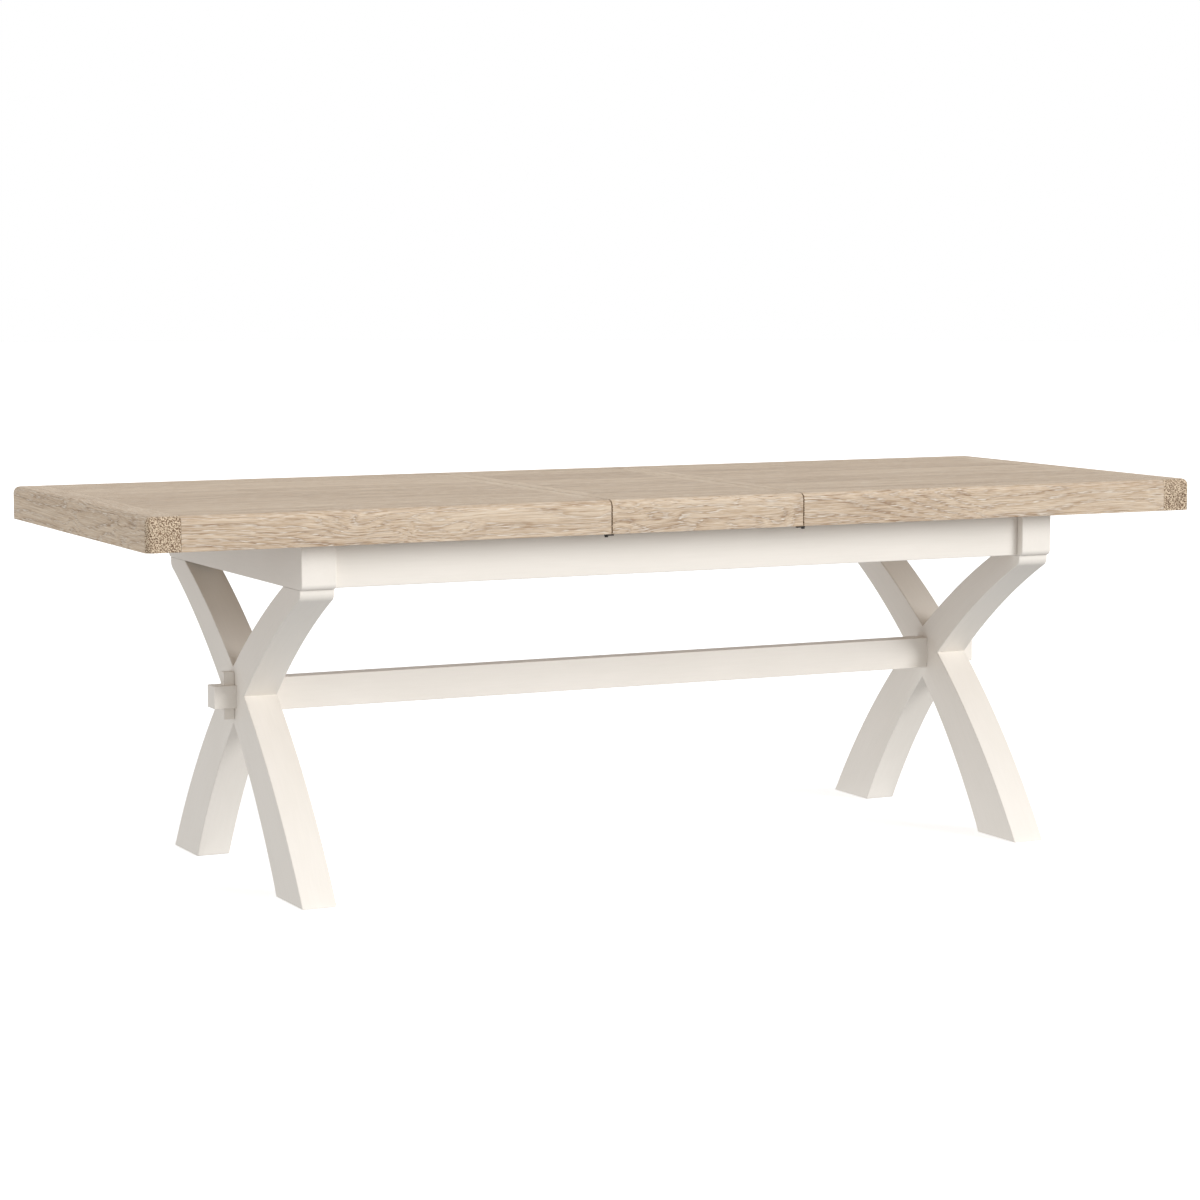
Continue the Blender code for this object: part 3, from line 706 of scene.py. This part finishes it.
# ---- bearers, stretcher, keys and rails ------------------------------------------------------
def tenon_section():
    """Section of the stretcher's tenon, read from the CAD mesh at its far end."""
    mesh = frame["nodes"]["stretcher"].data
    reach = max(vert.co.x for vert in mesh.vertices)
    ends = [vert.co for vert in mesh.vertices if vert.co.x > reach - FITTED_GAP]
    low = Vector([min(end[axis] for end in ends) for axis in range(3)])
    high = Vector([max(end[axis] for end in ends) for axis in range(3)])
    return low, high


def make_bearer(name):
    """Rail on top of an X frame, with its lower corners rounded."""
    low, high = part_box(name)
    base = low.z + BEARER_ROUND
    front = arc_points((low.y + BEARER_ROUND, base), BEARER_ROUND, math.pi, 1.5 * math.pi,
                       BEARER_ROUND_STEPS)
    back = arc_points((high.y - BEARER_ROUND, base), BEARER_ROUND, -0.5 * math.pi, 0.0,
                      BEARER_ROUND_STEPS)
    outline = front + back + [(high.y, high.z), (low.y, high.z)]
    shape = prism_shape(outline, lambda along, height: (low.x, along, height),
                        (high.x - low.x, 0.0, 0.0))

    def on_end_rim(edge):
        side = lies_at(edge, 0, low.x) or lies_at(edge, 0, high.x)
        level = lies_at(edge, 2, low.z) or lies_at(edge, 2, high.z)
        return is_sharp(edge) and side and not level

    bevel_edges(shape, BEARER_EASE, 3, on_end_rim)
    ease_all(shape, BEARER_TOP_EASE, 1)
    add_piece(to_mesh(shape, name), name, along_y)


def make_stretcher():
    """Stretcher with its through tenons, and the keys that hold them."""
    low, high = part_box("stretcher")
    tenon_low, tenon_high = tenon_section()
    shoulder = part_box("right_leg_rising_front")[0].x - FITTED_GAP
    right = [(shoulder, low.z), (shoulder, tenon_low.z), (high.x, tenon_low.z),
             (high.x, tenon_high.z), (shoulder, tenon_high.z), (shoulder, high.z)]
    left = [(-along, height) for along, height in reversed(right)]
    shape = prism_shape(right + left, lambda along, height: (along, low.y, height),
                        (0.0, high.y - low.y, 0.0))
    ease_all(shape, RAIL_EASE, 3)
    mesh = to_mesh(shape, "stretcher")
    for name in ("left_key", "right_key"):
        key_low, key_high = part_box(name)
        gap = Vector((FITTED_GAP, FITTED_GAP, 0.0))
        slot = box_shape(key_low - gap, key_high + gap)
        mesh = boolean_mesh(mesh, to_mesh(slot, "slot"), "DIFFERENCE")
        key = box_shape(key_low, key_high)
        ease_all(key, TUSK_KEY_EASE, 3)
        add_piece(to_mesh(key, name), name, along_z)
    add_piece(mesh, "stretcher", along_x)


def make_plain_board(node, axes, ease):
    """Straight board with all its edges eased."""
    low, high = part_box(node)
    shape = box_shape(low, high)
    ease_all(shape, ease, 3)
    add_piece(to_mesh(shape, node), node, axes)


def make_base_and_battens():
    make_legs()
    for name in ("left", "right"):
        make_bearer(name + "_bearer")
        make_plain_board(name + "_cross_rail", along_y, HIDDEN_EASE)
        for part in ("seam_batten", "end_batten"):
            make_plain_board(name + "_" + part, along_y, HIDDEN_EASE)
    make_stretcher()
    for flank in ("front", "back"):
        make_plain_board(flank + "_apron", along_x, RAIL_EASE)
        make_plain_board("leaf_" + flank + "_batten", along_x, HIDDEN_EASE)


# ---- pieces that keep their CAD mesh ---------------------------------------------------------
def dress_cad_node(node, axes):
    """Finish for a CAD node whose own shape is right."""
    part = frame["nodes"][node]
    part.data.materials.clear()
    part.data.materials.append(MATERIALS[NODE_SLOT[node]])
    write_grain(part.data, axes, node)


def dress_remaining():
    for node, part in frame["nodes"].items():
        if not part.hide_render:
            dress_cad_node(node, along_x if "runner" in node or "guide" in node else along_z)


# ---- floor, light and camera -----------------------------------------------------------------
def make_floor():
    """Pale floor that shows the table's faint shadow.

    It sends no light up: that comes from the surroundings and the bounce lamp.
    """
    shape = bmesh.new()
    bmesh.ops.create_circle(shape, cap_ends=True, segments=FLOOR_SIDES, radius=FLOOR_RADIUS)
    bmesh.ops.translate(shape, vec=(0.0, 0.0, -FLOOR_DROP), verts=shape.verts)
    floor = bpy.data.objects.new("floor", to_mesh(shape, "floor"))
    bpy.context.scene.collection.objects.link(floor)
    floor.visible_diffuse = False
    floor.visible_glossy = False
    floor.visible_shadow = False
    graph = Graph("pale_floor")
    graph.shader.inputs["Base Color"].default_value = (FLOOR_GREY, FLOOR_GREY, FLOOR_GREY, 1.0)
    graph.shader.inputs["Roughness"].default_value = 0.9
    graph.shader.inputs["Specular IOR Level"].default_value = 0.1
    graph.shader.inputs["Emission Color"].default_value = (1.0, 1.0, 1.0, 1.0)
    graph.shader.inputs["Emission Strength"].default_value = FLOOR_GLOW
    floor.data.materials.append(graph.material)


def make_soft_light(name, source, strength, spread):
    """Broad even light from far off, as from a big soft box in that direction."""
    lamp = bpy.data.lights.new(name, "SUN")
    lamp.energy = strength
    lamp.angle = math.radians(spread)
    light = bpy.data.objects.new(name, lamp)
    light.rotation_euler = (-Vector(source)).to_track_quat("-Z", "Y").to_euler()
    bpy.context.scene.collection.objects.link(light)


def make_floor_bounce():
    """Light that the key sends up from the floor under the table."""
    lamp = bpy.data.lights.new("floor_bounce", "AREA")
    lamp.shape = "RECTANGLE"
    lamp.size, lamp.size_y = BOUNCE_SIZE
    lamp.energy = BOUNCE_POWER
    light = bpy.data.objects.new("floor_bounce", lamp)
    light.location = (0.0, 0.0, FLOOR_DROP)
    light.rotation_euler = (math.pi, 0.0, 0.0)
    light.visible_camera = False
    bpy.context.scene.collection.objects.link(light)


def make_world():
    """Surroundings that light the table brighter from above, and look plain white."""
    world = bpy.data.worlds.new("studio")
    world.use_nodes = True
    tree = world.node_tree
    ground = tree.nodes["Background"]
    ground.inputs["Color"].default_value = (1.0, 1.0, 1.0, 1.0)
    place = tree.nodes.new("ShaderNodeTexCoord")
    parts = tree.nodes.new("ShaderNodeSeparateXYZ")
    tree.links.new(place.outputs["Generated"], parts.inputs["Vector"])
    height = tree.nodes.new("ShaderNodeMapRange")
    height.inputs["From Min"].default_value = -1.0
    tree.links.new(parts.outputs["Z"], height.inputs["Value"])
    level = tree.nodes.new("ShaderNodeValToRGB")
    set_stops(level.color_ramp, SKY_LEVELS)
    tree.links.new(height.outputs["Result"], level.inputs["Fac"])
    path = tree.nodes.new("ShaderNodeLightPath")
    blend = tree.nodes.new("ShaderNodeMix")
    blend.inputs["B"].default_value = 1.0
    tree.links.new(path.outputs["Is Camera Ray"], blend.inputs["Factor"])
    tree.links.new(level.outputs["Color"], blend.inputs["A"])
    tree.links.new(blend.outputs["Result"], ground.inputs["Strength"])
    bpy.context.scene.world = world


def make_camera():
    data = bpy.data.cameras.new("camera")
    data.lens = CAMERA_LENS
    data.sensor_width = SENSOR_WIDTH
    data.clip_end = CAMERA_REACH
    camera = bpy.data.objects.new("camera", data)
    camera.location = CAMERA_PLACE
    camera.rotation_euler = (math.radians(90 - CAMERA_DIP), 0.0, -math.radians(CAMERA_YAW))
    bpy.context.scene.collection.objects.link(camera)
    bpy.context.scene.camera = camera


def make_studio():
    make_floor()
    make_world()
    make_soft_light("key", KEY_FROM, KEY_STRENGTH, KEY_SPREAD)
    make_soft_light("fill", FILL_FROM, FILL_STRENGTH, FILL_SPREAD)
    make_floor_bounce()
    make_camera()
    bpy.context.scene.view_settings.view_transform = "Standard"


make_top()
make_base_and_battens()
dress_remaining()
make_studio()
